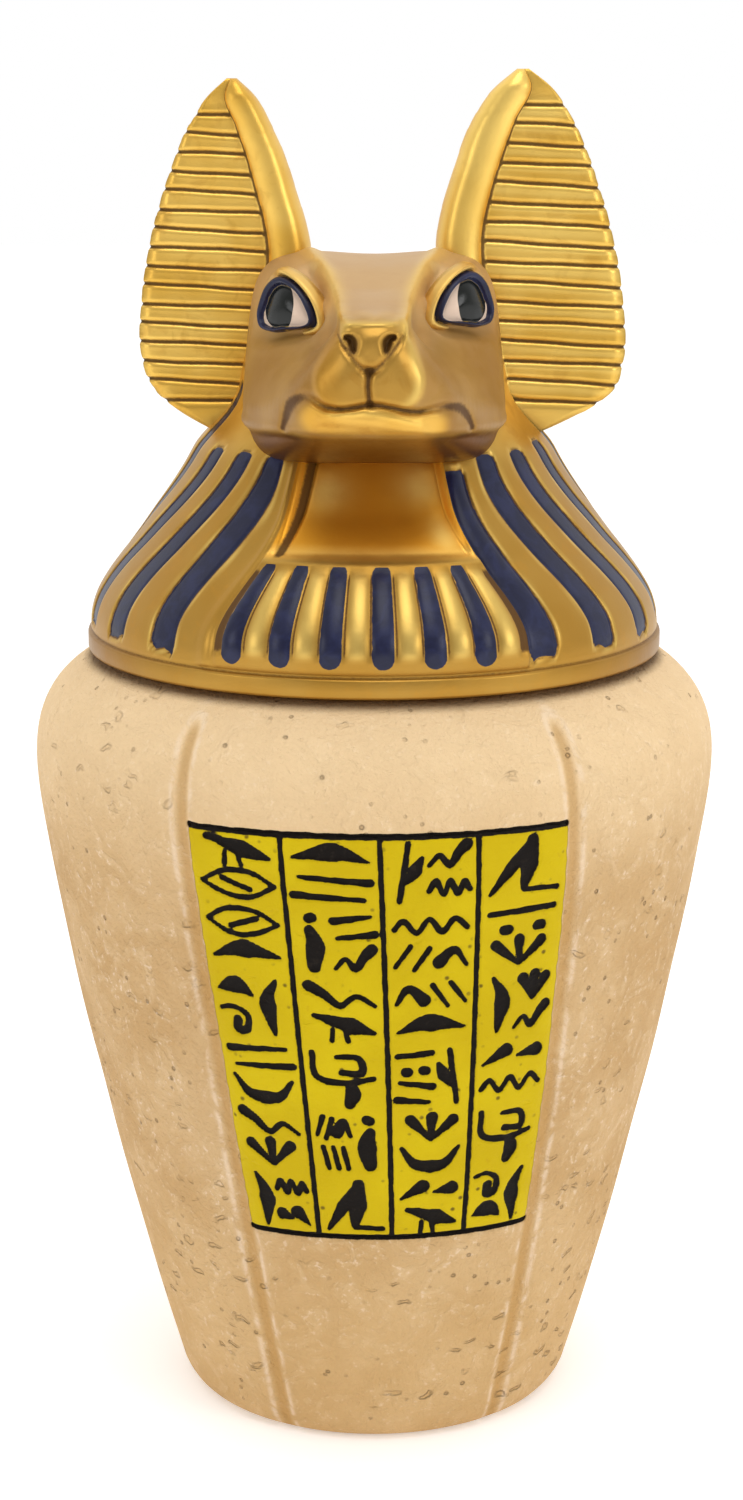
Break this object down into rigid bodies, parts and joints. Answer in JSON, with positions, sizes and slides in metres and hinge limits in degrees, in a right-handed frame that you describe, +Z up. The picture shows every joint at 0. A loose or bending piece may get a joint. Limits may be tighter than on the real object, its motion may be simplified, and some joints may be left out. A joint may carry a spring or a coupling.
{
  "type": "canopic jar",
  "caption": "Hollow tapering jar in the form of a canopic jar, with a lift-off lid shaped as a jackal head in a striped wig.",
  "frame": {"origin": "centre of the jar's flat underside", "axes": "+Z up along the jar's axis; the jackal looks along -Y; +X to the right seen from the front"},
  "size_m": [0.0918, 0.0918, 0.18],
  "materials": {
    "stone_resin": "matte cream stone-filled resin, pitted, with a yellow and black painted field",
    "gold_paint": "satin antique-gold paint on cast resin, with dark blue painted stripes"
  },
  "bodies": {
    "root": {"jar_body": "stone_resin", "jackal_head_lid": "gold_paint"}
  },
  "joints": []
}
